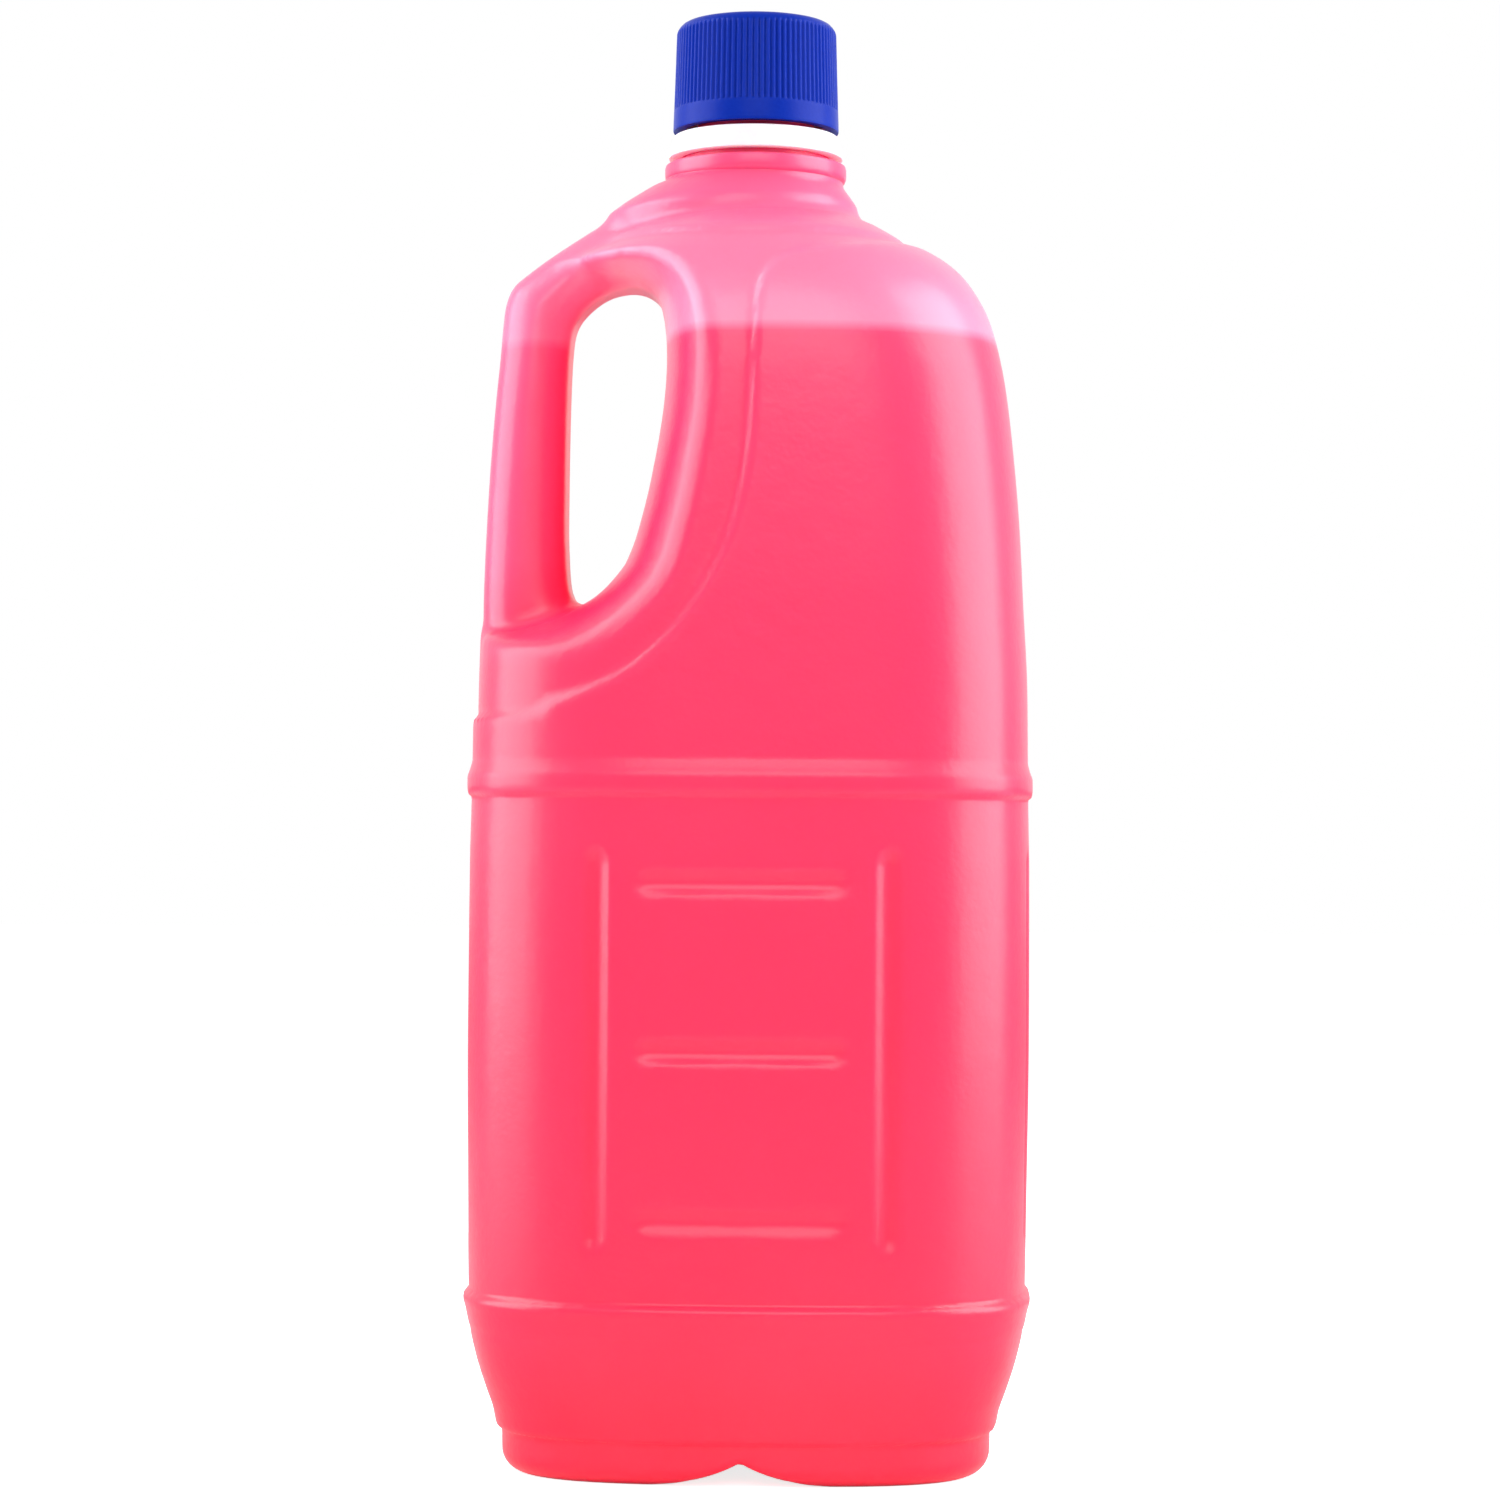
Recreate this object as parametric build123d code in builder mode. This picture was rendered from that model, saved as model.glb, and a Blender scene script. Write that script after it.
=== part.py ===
from build123d import *
from math import copysign, cos, radians, sin
import os

os.makedirs("parts", exist_ok=True)

# A two-litre blow-moulded bottle for denatured alcohol, with a hollow handle and a push-and-turn closure.
# X runs across the front, with the handle at -X. The front faces -Y. Z is up, and Z = 0 is the standing plane.

# Wall of the blow-moulded bottle, and the height the alcohol fills it to
wall = 1.2
fill_level = 235.0

# Body: an oval section with bowed sides, half sizes across X and Y
body_half_width = 58.5
body_half_depth = 44.0
body_power = 3.2
panel_bottom = 31.0
panel_top = 146.0
panel_relief = 1.0

# Raised bands above and below the grip panel
band_rise = 1.0
band_height = 6.8
lower_band_z = 30.2
upper_band_z = 140.3
band_round = 0.7

# Tapered base, stepped foot and the channel under it
base_half_width = 52.3
base_half_depth = 38.4
foot_height = 8.8
foot_step = 1.1
foot_round = 5.0
channel_width = 20.0
channel_rise = 4.8
channel_flare = 3.0

# Upper body sections at even steps: height, half width, half depth, power of the oval
upper_sections = [
    (161.0, 58.2, 44.0, 3.2),
    (177.0, 57.6, 44.0, 3.2),
    (193.0, 56.7, 43.9, 3.2),
    (209.0, 55.6, 43.6, 3.1),
    (225.0, 53.8, 42.9, 3.0),
    (241.0, 49.8, 40.9, 2.7),
    (257.0, 34.6, 33.6, 2.0),
]

# Dome between the shoulder and the neck: radius and height up its outside
dome_profile = [(33.2, 249.0), (34.2, 257.0), (31.9, 259.1), (28.5, 261.2), (24.4, 263.4), (19.0, 266.0)]

# Flared step under the collar, drawn out over the handle: height, shift, half width, half depth
tier_sections = [
    (261.8, -4.6, 26.4, 22.9),
    (263.6, -4.6, 26.4, 22.9),
    (265.4, -3.7, 25.5, 22.6),
    (267.6, -2.7, 23.1, 21.2),
    (269.7, -1.7, 20.6, 19.6),
    (271.2, -0.3, 18.9, 18.7),
]

# Closure: outer cap over inner cap, with a foam wad against the neck
cap_top = 305.0
cap_top_wall = 1.4
cap_top_radius = 17.0
cap_bottom = 281.9
cap_bottom_radius = 17.6
cap_corner = 2.4
cap_lip_height = 4.4
grip_step = 0.15
push_travel = 0.7
push_margin = 0.15
cap_clearance = 0.3
catch_height = 1.0
catch_reach = 0.45
inner_cap_radius = 15.3
inner_cap_bore = 14.1
inner_cap_top_wall = 1.3
inner_cap_edge = 0.6
lug_height = 0.9
lug_inner_radius = 8.0
lug_outer_radius = 13.0
lug_count = 8
lug_angle = 20.0
wad_thickness = 1.0
wad_radius = 13.8
seat_gap = 0.1

cap_ceiling = cap_top - cap_top_wall
inner_lug_top = cap_ceiling - push_travel - push_margin
inner_cap_top = inner_lug_top - lug_height
inner_cap_ceiling = inner_cap_top - inner_cap_top_wall
inner_cap_bottom = cap_bottom + catch_height + cap_clearance
wad_bottom = inner_cap_ceiling - seat_gap - wad_thickness

# Neck: collar, skirt under the ring, retaining bead and the finish for a 28 mm closure
collar_radius = 19.3
collar_bottom = 271.2
collar_top = 274.7
collar_edge = 0.6
skirt_radius = 15.6
skirt_top = 280.9
bead_rise = 0.5
bead_height = 0.7
finish_radius = 12.4
finish_slope = 0.8
bore_radius = 10.8
bore_cone_top = 277.6
neck_top = wad_bottom - seat_gap

# Tamper ring, standing round the skirt and held under the bead
ring_gap = 0.25
ring_bottom = 276.0
ring_bottom_radius = 18.55
ring_top_radius = 17.4
ring_edge = 0.3

# Handle: a plate with rounded edges, pierced by the finger hole
handle_depth = 24.0
handle_round = 4.5
hole_outline = [
    (-39.4, 205.0),
    (-38.7, 235.0),
    (-34.5, 244.0),
    (-25.0, 247.9),
    (-19.1, 241.9),
    (-18.7, 222.7),
    (-20.7, 209.8),
    (-26.9, 188.5),
    (-34.5, 180.6),
    (-38.9, 186.5),
]
handle_outline = [
    (-56.9, 150.0),
    (-56.8, 188.0),
    (-55.1, 216.0),
    (-52.6, 247.9),
    (-31.4, 262.4),
    (-8.0, 262.4),
    (-8.0, 150.0),
]
handle_bends = [8.0, 60.0, 60.0, 7.0, 8.0, 8.0, 8.0]

# The handle's recess in the body: the edge that is rounded over beside the finger hole
recess_edge = [
    (-75.0, 172.5),
    (-50.0, 173.5),
    (-35.5, 178.2),
    (-25.3, 187.5),
    (-18.9, 209.5),
    (-16.2, 233.0),
    (-18.8, 245.4),
    (-25.5, 250.0),
    (-34.0, 251.5),
    (-60.0, 262.0),
]
recess_outer = [(-75.0, 262.0)]
recess_round = 14.0
recess_flat = 12.0
recess_reach = 33.0
recess_turns = (0, 20, 40, 60, 75, 88)

# Inside, the roundover is two steps: how far each stands back from the recess edge
inner_step_depth = 33.0
inner_near_shift = 3.6
inner_far_shift = 9.5

# Edge of the raised front panel round the recess
panel_edge = [
    (-75.0, 158.8),
    (-41.5, 158.0),
    (-26.4, 163.6),
    (-10.3, 179.5),
    (-1.4, 199.6),
    (1.0, 219.8),
    (2.4, 243.0),
    (8.0, 250.6),
]
panel_shoulder = [(40.0, 258.2), (75.0, 264.0), (75.0, 280.0), (-75.0, 280.0)]

# Notch round the handle's foot
notch_z = 158.8
notch_radius = 2.2
notch_depth = 1.3
notch_turns = (130, 231)

# Grooves pressed into the grip panel and the sides
groove_bottom = 50.6
groove_top = 126.6
front_groove_x = 30.0
front_groove_radius = 3.2
front_groove_depth = 1.9
side_groove_y = 15.0
side_groove_radius = 2.6
side_groove_depth = 1.1
rib_spacing = 34.2
rib_mid_z = 88.2
rib_half_length = 18.9
rib_radius = 2.6
rib_depth = 1.1


def oval_points(half_width, half_depth, power, first=0, last=360, step=15):
    """Points round a superellipse between two turns in degrees."""
    points = []
    for turn in range(first, last, step):
        across, along = cos(radians(turn)), sin(radians(turn))
        points.append(
            (
                copysign(half_width * abs(across) ** (2 / power), across),
                copysign(half_depth * abs(along) ** (2 / power), along),
            )
        )
    return points


def oval_prism(bottom, height, half_width, half_depth):
    """An upright solid on the body's oval."""
    with BuildPart() as prism:
        with BuildSketch(Plane.XY.offset(bottom)):
            with BuildLine():
                Spline(*oval_points(half_width, half_depth, body_power), periodic=True)
            make_face()
        extrude(amount=height)
    return prism.part


def oval_depth_at(x):
    """Half depth of the body's oval at a distance from the middle of the front."""
    return body_half_depth * (1 - (x / body_half_width) ** body_power) ** (1 / body_power)


def oval_width_at(y):
    """Half width of the body's oval at a distance from the middle of the side."""
    return body_half_width * (1 - (y / body_half_depth) ** body_power) ** (1 / body_power)


def oval_loft(rows, skin):
    """A smooth solid through oval sections, each drawn in by the skin."""
    with BuildPart() as body:
        for height, half_width, half_depth, power in rows:
            with BuildSketch(Plane.XY.offset(height)):
                with BuildLine():
                    Spline(*oval_points(half_width - skin, half_depth - skin, power), periodic=True)
                make_face()
        loft()
    return body.part


def drawn(points, amount, closed=False):
    """An outline in the XZ plane moved sideways by an amount, towards the right of its direction."""
    moved = []
    for i, (x, z) in enumerate(points):
        before = points[i - 1] if closed or i > 0 else points[i]
        after = points[(i + 1) % len(points)] if closed or i < len(points) - 1 else points[i]
        run = Vector(after[0] - before[0], after[1] - before[1]).normalized()
        moved.append((x + amount * run.Y, z - amount * run.X))
    return moved


def recess_side():
    """The space in front of the handle, with an elliptical roundover beside the finger hole."""
    with BuildPart() as cut:
        for turn in recess_turns:
            inward, outward = cos(radians(turn)), sin(radians(turn))
            with BuildSketch(Plane.XZ.offset(recess_flat + recess_reach * outward)):
                with BuildLine():
                    smooth = Spline(*drawn(recess_edge, recess_round * (1 - inward)))
                    Polyline(smooth @ 1, *recess_outer, smooth @ 0)
                make_face()
        loft()
    return cut.part


def recess_block(shift, near, far):
    """A straight-sided space at the handle, between two depths."""
    with BuildPart() as cut:
        with BuildSketch(Plane.XZ.offset(near)):
            with BuildLine():
                smooth = Spline(*drawn(recess_edge, shift))
                Polyline(smooth @ 1, *recess_outer, smooth @ 0)
            make_face()
        extrude(amount=far - near)
    return cut.part


def beyond_panel():
    """The space outside the raised panel, cut straight through."""
    with BuildPart() as cut:
        with BuildSketch(Plane.XZ):
            with BuildLine():
                smooth = Spline(*panel_edge)
                Polyline(smooth @ 1, *panel_shoulder, smooth @ 0)
            make_face()
        extrude(amount=2 * body_half_depth, both=True)
    return cut.part


def upper_rows():
    """Sections of the upper body, from inside the upper band to the shoulder."""
    return [(panel_top - band_rise, body_half_width, body_half_depth, body_power)] + upper_sections


def upper_outside():
    """Shoulder and front panel, with the recess round the handle hole."""
    with BuildPart() as panel:
        add(oval_loft(upper_rows(), 0))
        add(beyond_panel(), mode=Mode.SUBTRACT)
    with BuildPart() as body:
        add(oval_loft(upper_rows(), panel_relief))
        front = recess_side()
        add(front, mode=Mode.SUBTRACT)
        add(front.mirror(Plane.XZ), mode=Mode.SUBTRACT)
        add(recess_block(0, -recess_flat, recess_flat), mode=Mode.SUBTRACT)
        add(panel.part)
    return body.part


def upper_inside():
    """The space inside the shoulder and front panel."""
    with BuildPart() as body:
        add(oval_loft(upper_rows(), wall + panel_relief))
        add(recess_block(inner_near_shift + wall, -inner_step_depth, inner_step_depth), mode=Mode.SUBTRACT)
        front = recess_block(inner_far_shift + wall, inner_step_depth, body_half_depth)
        add(front, mode=Mode.SUBTRACT)
        add(front.mirror(Plane.XZ), mode=Mode.SUBTRACT)
    return body.part


def handle(skin):
    """The hollow handle round the finger hole, flat on the parting plane and rounded at its edges."""
    with BuildPart() as grip:
        with BuildSketch(Plane.XZ):
            with BuildLine():
                FilletPolyline(
                    *drawn(handle_outline, skin, closed=True),
                    radius=[bend - skin for bend in handle_bends],
                    close=True,
                )
            make_face()
            with BuildLine():
                Spline(*drawn(hole_outline, -skin, closed=True), periodic=True)
            make_face(mode=Mode.SUBTRACT)
        extrude(amount=handle_depth / 2 - skin, both=True)
        fillet(grip.faces().filter_by(Plane.XZ).edges(), radius=handle_round - skin)
    return grip.part


def band(bottom):
    """One raised band round the body."""
    with BuildPart() as hoop:
        add(oval_prism(bottom, band_height, body_half_width + band_rise, body_half_depth + band_rise))
        chamfer(hoop.faces().filter_by(Axis.Z).edges(), length=band_round)
    return hoop.part


def foot(skin):
    """The stepped foot with its rounded sole."""
    inset = foot_step + skin
    with BuildPart() as sole:
        add(oval_prism(skin, foot_height + foot_step, base_half_width - inset, base_half_depth - inset))
        fillet(sole.faces().sort_by(Axis.Z)[0].edges(), radius=foot_round - skin)
    return sole.part


def channel(skin):
    """The arched space that runs from front to back under the base."""
    half = channel_width / 2
    with BuildPart() as arch:
        with BuildSketch(Plane.XZ):
            with BuildLine():
                Spline(
                    (-half - channel_flare, -channel_flare),
                    (-half, channel_flare / 3),
                    (0, channel_rise + skin),
                    (half, channel_flare / 3),
                    (half + channel_flare, -channel_flare),
                )
                Line((-half - channel_flare, -channel_flare), (half + channel_flare, -channel_flare))
            make_face()
        extrude(amount=2 * body_half_depth, both=True)
    return arch.part


def capsule(start, end, radius):
    """A round-ended bar between two points."""
    with BuildPart() as bar:
        axis = Plane(origin=start, z_dir=Vector(*end) - Vector(*start))
        with BuildSketch(axis):
            Circle(radius)
        extrude(amount=(Vector(*end) - Vector(*start)).length)
        with Locations(start, end):
            Sphere(radius)
    return bar.part


def grooves(skin):
    """Every groove pressed into the grip panel, as round-ended bars."""
    bars = []
    for side in (-1, 1):
        y = side * (oval_depth_at(front_groove_x) - front_groove_depth + front_groove_radius)
        for x in (-front_groove_x, front_groove_x):
            bars.append(capsule((x, y, groove_bottom), (x, y, groove_top), front_groove_radius + skin))
        x = side * (oval_width_at(side_groove_y) - side_groove_depth + side_groove_radius)
        for y in (-side_groove_y, side_groove_y):
            bars.append(capsule((x, y, groove_bottom), (x, y, groove_top), side_groove_radius + skin))
        y = side * (oval_depth_at(rib_half_length / 2) - rib_depth + rib_radius)
        for step in (-1, 0, 1):
            z = rib_mid_z + step * rib_spacing
            bars.append(capsule((-rib_half_length, y, z), (rib_half_length, y, z), rib_radius + skin))
    return bars


def lower_body(skin):
    """Grip panel, tapered base and stepped foot."""
    taper_top = body_half_width - foot_step / 2, body_half_depth - foot_step / 2
    with BuildPart() as body:
        add(
            oval_prism(
                panel_bottom - skin,
                panel_top - panel_bottom + skin,
                body_half_width - skin,
                body_half_depth - skin,
            )
        )
        add(
            oval_loft(
                [
                    (foot_height + skin, base_half_width, base_half_depth, body_power),
                    (panel_bottom, *taper_top, body_power),
                ],
                skin,
            )
        )
        add(foot(skin))
        add(channel(skin), mode=Mode.SUBTRACT)
        for bar in grooves(skin):
            add(bar, mode=Mode.SUBTRACT)
    return body.part


def notch():
    """The groove that runs round the corner at the handle's foot."""
    grow = notch_radius - notch_depth
    first, last = notch_turns
    rail = oval_points(body_half_width + grow, body_half_depth + grow, body_power, first, last, 10)
    with BuildPart() as cut:
        with BuildLine(Plane.XY.offset(notch_z)) as path:
            Spline(*rail)
        with BuildSketch(Plane(origin=path.line @ 0, z_dir=path.line % 0)):
            Circle(notch_radius)
        sweep()
    return cut.part


def turned(profile):
    """A solid of revolution about Z from radius and height points."""
    with BuildPart() as lathe:
        with BuildSketch(Plane.XZ):
            with BuildLine():
                Polyline(*profile, close=True)
            make_face()
        revolve(axis=Axis.Z)
    return lathe.part


def dome(skin):
    """The round dome over the shoulder, closed off inside the body."""
    rise = drawn(dome_profile, -skin)
    return turned([(0, rise[0][1]), *rise, (0, rise[-1][1])])


def tier(skin):
    """The flared step between the dome and the collar."""
    with BuildPart() as step:
        for height, shift, half_width, half_depth in tier_sections:
            with BuildSketch(Plane.XY.offset(height - 0.6 * skin)):
                with Locations((shift, 0)):
                    Ellipse(half_width - skin, half_depth - skin)
        loft()
    return step.part


def neck_outside():
    """Collar, skirt, bead and finish as one turned solid."""
    bead_radius = skirt_radius + bead_rise
    bead_bottom = skirt_top - bead_height
    return turned(
        [
            (0, collar_bottom - 2),
            (collar_radius - 1, collar_bottom - 2),
            (collar_radius - collar_edge, collar_bottom),
            (collar_radius, collar_bottom + collar_edge),
            (collar_radius, collar_top - collar_edge),
            (collar_radius - collar_edge, collar_top),
            (skirt_radius, collar_top),
            (skirt_radius, bead_bottom),
            (bead_radius, bead_bottom),
            (bead_radius, bead_bottom + bead_height / 2),
            (skirt_radius, skirt_top),
            (finish_radius, skirt_top + finish_slope),
            (finish_radius, neck_top - collar_edge),
            (finish_radius - collar_edge, neck_top),
            (0, neck_top),
        ]
    )


def neck_inside():
    """Bore of the neck and the cone that opens into the dome."""
    mouth = tier_sections[-1][2] - 1.5 * wall
    return turned(
        [
            (0, collar_bottom - 4),
            (mouth, collar_bottom - 4),
            (mouth, collar_bottom - 0.5),
            (bore_radius, bore_cone_top),
            (bore_radius, neck_top + 1),
            (0, neck_top + 1),
        ]
    )


# The space inside the bottle
with BuildPart() as inside:
    add(upper_inside())
    add(handle(wall))
    add(lower_body(wall))
    add(dome(wall))
    add(tier(wall))
    add(neck_inside())

# The alcohol that fills it to its level
with BuildPart() as alcohol:
    add(inside.part)
    split(bisect_by=Plane.XY.offset(fill_level), keep=Keep.BOTTOM)
alcohol.part.label = "alcohol"
export_step(alcohol.part, "parts/alcohol.step")

# Bottle with its hollow handle and open neck
with BuildPart() as bottle:
    add(upper_outside())
    add(handle(0))
    add(lower_body(0))
    add(band(lower_band_z))
    add(band(upper_band_z))
    add(dome(0))
    add(tier(0))
    add(neck_outside())
    add(notch(), mode=Mode.SUBTRACT)
    add(inside.part, mode=Mode.SUBTRACT)
bottle.part.label = "bottle"
export_step(bottle.part, "parts/bottle.step")

# Tamper ring round the skirt, its step under the bead
with BuildPart() as tamper_ring:
    ring_top = skirt_top
    ring_step = skirt_top - bead_height - ring_gap
    with BuildSketch(Plane.XZ):
        with BuildLine():
            Polyline(
                (skirt_radius + ring_gap, ring_bottom),
                (ring_bottom_radius - ring_edge, ring_bottom),
                (ring_bottom_radius, ring_bottom + ring_edge),
                (ring_top_radius, ring_top),
                (skirt_radius + bead_rise + ring_gap, ring_top),
                (skirt_radius + bead_rise + ring_gap, ring_step),
                (skirt_radius + ring_gap, ring_step),
                close=True,
            )
        make_face()
    revolve(axis=Axis.Z)
tamper_ring.part.label = "tamper_ring"
export_step(tamper_ring.part, "parts/tamper_ring.step")

# Foam wad that seals on the neck
with BuildPart() as sealing_wad:
    with BuildSketch(Plane.XY.offset(wad_bottom)):
        Circle(wad_radius)
    extrude(amount=wad_thickness)
sealing_wad.part.label = "sealing_wad"
export_step(sealing_wad.part, "parts/sealing_wad.step")


def lug_sector(centre_angle):
    """Corner points of one drive lug, seen from above."""
    half = radians(lug_angle / 2)
    middle = radians(centre_angle)
    corners = []
    for radius, turn in (
        (lug_inner_radius, -half),
        (lug_outer_radius, -half),
        (lug_outer_radius, half),
        (lug_inner_radius, half),
    ):
        corners.append((radius * cos(middle + turn), radius * sin(middle + turn)))
    return corners


# Inner cap with its drive lugs on top
with BuildPart() as inner_cap:
    with BuildSketch(Plane.XZ):
        with BuildLine():
            Polyline(
                (inner_cap_bore, inner_cap_bottom),
                (inner_cap_radius, inner_cap_bottom),
                (inner_cap_radius, inner_cap_top - inner_cap_edge),
                (inner_cap_radius - inner_cap_edge, inner_cap_top),
                (0, inner_cap_top),
                (0, inner_cap_ceiling),
                (inner_cap_bore, inner_cap_ceiling),
                close=True,
            )
        make_face()
    revolve(axis=Axis.Z)
    with BuildSketch(Plane.XY.offset(inner_cap_top)):
        for lug in range(lug_count):
            with BuildLine():
                Polyline(*lug_sector(lug * 360 / lug_count), close=True)
            make_face()
    extrude(amount=lug_height)
inner_cap.part.label = "inner_cap"
export_step(inner_cap.part, "parts/inner_cap.step")

# Outer cap: tapered grip over a plain lip, catch under the inner cap, drive lugs inside
with BuildPart() as outer_cap:
    hollow_radius = inner_cap_radius + cap_clearance
    catch_radius = inner_cap_radius - catch_reach
    cap_draft = (cap_bottom_radius - cap_top_radius) / (cap_top - cap_corner - cap_bottom)
    grip_bottom = cap_bottom + cap_lip_height
    grip_radius = cap_bottom_radius - cap_draft * cap_lip_height
    crown_radius = cap_top_radius - grip_step
    with BuildSketch(Plane.XZ):
        with BuildLine():
            Polyline(
                (crown_radius - cap_corner, cap_top),
                (0, cap_top),
                (0, cap_ceiling),
                (hollow_radius, cap_ceiling),
                (hollow_radius, cap_bottom + catch_height),
                (catch_radius, cap_bottom + catch_height),
                (catch_radius, cap_bottom),
                (cap_bottom_radius, cap_bottom),
                (grip_radius, grip_bottom),
                (grip_radius - grip_step, grip_bottom),
                (crown_radius, cap_top - cap_corner),
            )
            RadiusArc((crown_radius, cap_top - cap_corner), (crown_radius - cap_corner, cap_top), -cap_corner)
        make_face()
    revolve(axis=Axis.Z)
    with BuildSketch(Plane.XY.offset(cap_ceiling)):
        for lug in range(lug_count):
            with BuildLine():
                Polyline(*lug_sector((lug + 0.5) * 360 / lug_count), close=True)
            make_face()
    extrude(amount=push_margin - lug_height)
outer_cap.part.label = "outer_cap"
export_step(outer_cap.part, "parts/outer_cap.step")
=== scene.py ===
import math

import bpy
import numpy as np
from mathutils import Matrix, Vector


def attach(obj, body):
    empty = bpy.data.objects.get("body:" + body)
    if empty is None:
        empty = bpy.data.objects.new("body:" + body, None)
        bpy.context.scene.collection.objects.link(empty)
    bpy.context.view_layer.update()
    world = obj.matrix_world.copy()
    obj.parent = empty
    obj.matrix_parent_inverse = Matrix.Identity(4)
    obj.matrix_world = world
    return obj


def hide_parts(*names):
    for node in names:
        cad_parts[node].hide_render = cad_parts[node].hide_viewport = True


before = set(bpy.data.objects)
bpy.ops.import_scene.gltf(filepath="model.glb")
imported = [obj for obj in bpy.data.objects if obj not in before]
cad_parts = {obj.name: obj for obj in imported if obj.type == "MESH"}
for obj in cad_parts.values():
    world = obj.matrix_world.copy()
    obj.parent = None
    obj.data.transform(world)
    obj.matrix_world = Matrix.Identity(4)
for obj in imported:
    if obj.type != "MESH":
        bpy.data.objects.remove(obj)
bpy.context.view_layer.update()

MM = 0.001
WHITE = (1.0, 1.0, 1.0, 1.0)


# The bottle's form, in millimetres

# Height, half width, half depth and power of the oval, up the outside of the raised panels
PROFILE = [
    (-4.0, 51.0, 37.4, 3.2),
    (8.4, 51.2, 37.5, 3.2),
    (9.3, 52.3, 38.4, 3.2),
    (12.8, 53.1, 39.1, 3.2),
    (16.2, 54.3, 40.0, 3.2),
    (21.0, 55.9, 41.6, 3.2),
    (25.0, 57.0, 42.6, 3.2),
    (29.5, 57.9, 43.4, 3.2),
    (37.5, 58.3, 43.7, 3.2),
    (60.0, 58.6, 44.0, 3.2),
    (90.0, 58.9, 44.2, 3.2),
    (125.0, 58.8, 44.1, 3.2),
    (140.0, 58.5, 44.0, 3.2),
    (163.0, 58.2, 44.0, 3.2),
    (180.0, 57.3, 44.0, 3.2),
    (197.0, 56.4, 43.8, 3.15),
    (214.0, 54.9, 43.4, 3.05),
    (226.8, 53.3, 42.8, 2.95),
    (235.2, 51.6, 42.0, 2.8),
    (241.6, 49.6, 40.9, 2.7),
    (246.0, 47.3, 39.6, 2.6),
    (250.0, 44.5, 37.9, 2.4),
    (253.0, 41.2, 36.3, 2.25),
    (255.2, 37.8, 34.9, 2.1),
    (257.0, 34.5, 33.9, 2.0),
    (258.8, 32.3, 32.1, 2.0),
    (261.2, 28.5, 28.5, 2.0),
    (263.4, 24.4, 24.4, 2.0),
    (265.9, 21.6, 21.6, 2.0),
    (267.6, 20.4, 20.4, 2.0),
    (270.0, 18.9, 18.9, 2.0),
    (276.0, 18.6, 18.6, 2.0),
]

# Height, shift, half width, half depth of the flared step under the collar
TIER = [
    (255.0, -4.6, 24.0, 20.5),
    (261.8, -4.6, 26.2, 22.7),
    (263.6, -4.6, 26.3, 22.9),
    (265.4, -3.7, 25.4, 22.6),
    (267.6, -2.7, 23.1, 21.2),
    (269.7, -1.7, 20.6, 19.6),
    (271.2, -0.3, 18.9, 18.7),
    (276.0, 0.0, 18.7, 18.6),
]

# Raised bands: height and how far they stand out
LOWER_BAND = [(29.6, 0.0), (30.4, 0.25), (33.6, 0.75), (35.6, 1.15), (36.5, 1.0), (37.4, 0.0)]
UPPER_BAND = [(139.9, 0.0), (140.6, 0.75), (142.3, 0.98), (144.0, 0.98), (145.6, 0.5), (147.4, 0.0)]

HOLE = [
    (-39.4, 205.0), (-39.2, 222.6), (-38.7, 235.0), (-37.6, 240.4), (-34.5, 244.2), (-30.4, 246.8),
    (-25.0, 247.9), (-20.9, 246.0), (-19.0, 241.6), (-18.2, 233.0), (-18.8, 222.7), (-20.8, 209.8),
    (-22.7, 201.3), (-25.2, 192.8), (-29.4, 184.4), (-34.3, 180.8), (-38.2, 183.0), (-39.3, 192.7),
]
HANDLE = [
    (-57.0, 150.0), (-56.9, 168.0), (-56.9, 184.1), (-56.0, 205.5), (-54.8, 222.5), (-53.9, 232.0),
    (-53.3, 240.0), (-52.7, 244.6), (-51.2, 248.2), (-48.4, 250.8), (-43.5, 254.5), (-36.9, 258.9),
    (-33.3, 261.1), (-30.0, 262.6), (-24.0, 263.5), (-8.0, 263.5), (-8.0, 150.0),
]
RECESS_EDGE = [
    (-90.0, 172.2), (-56.0, 172.8), (-46.0, 174.0), (-35.5, 178.2), (-25.3, 187.5), (-21.4, 198.0),
    (-18.7, 210.5), (-16.8, 222.0), (-16.2, 234.0), (-17.2, 243.5), (-20.5, 248.6), (-26.0, 251.2),
    (-35.0, 253.5), (-90.0, 272.0),
]
PANEL_EDGE = [
    (-90.0, 158.2), (-52.0, 158.2), (-41.5, 158.6), (-26.4, 164.2), (-16.6, 171.6), (-10.3, 179.5),
    (-4.8, 189.2), (-1.4, 199.6), (0.4, 209.8), (1.1, 220.0), (1.6, 234.0), (2.6, 245.0),
    (6.6, 250.4), (15.0, 252.6), (34.0, 256.4), (60.0, 260.0), (90.0, 262.0),
]

# Roundover of the recess: where it starts, how wide it is, and how deep it runs at each end
EDGE_SHIFT = 2.0
ROUND = 16.0
FLAT = 3.5
REACH = 40.5
REACH_PAST_FRONT = 7.0
RECESS_TOP = 263.5
WELL_INSIDE = 20.0
RECESS_BLEND = 2.6

# Handle: half depth, how much of it is lost towards the top, and the round of its edges
GRIP_DEPTH = 12.0
GRIP_TAPER = 0.10
GRIP_ROUND = 8.5
GRIP_BLEND = 3.2
HOLE_BLEND = 0.6

# Raised panel over the shoulder
RELIEF = 1.2
PANEL_BLEND = 0.5

# Notch round the corner at the handle's foot
NOTCH_Z = 158.8
NOTCH_HALF = 3.2
NOTCH_DEPTH = 1.9
NOTCH_FADE = (39.0, 46.0)

# Flared step under the collar
TIER_BOTTOM = 258.0
TIER_SLANT = 1.25
TIER_BLEND = 1.2

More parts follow.
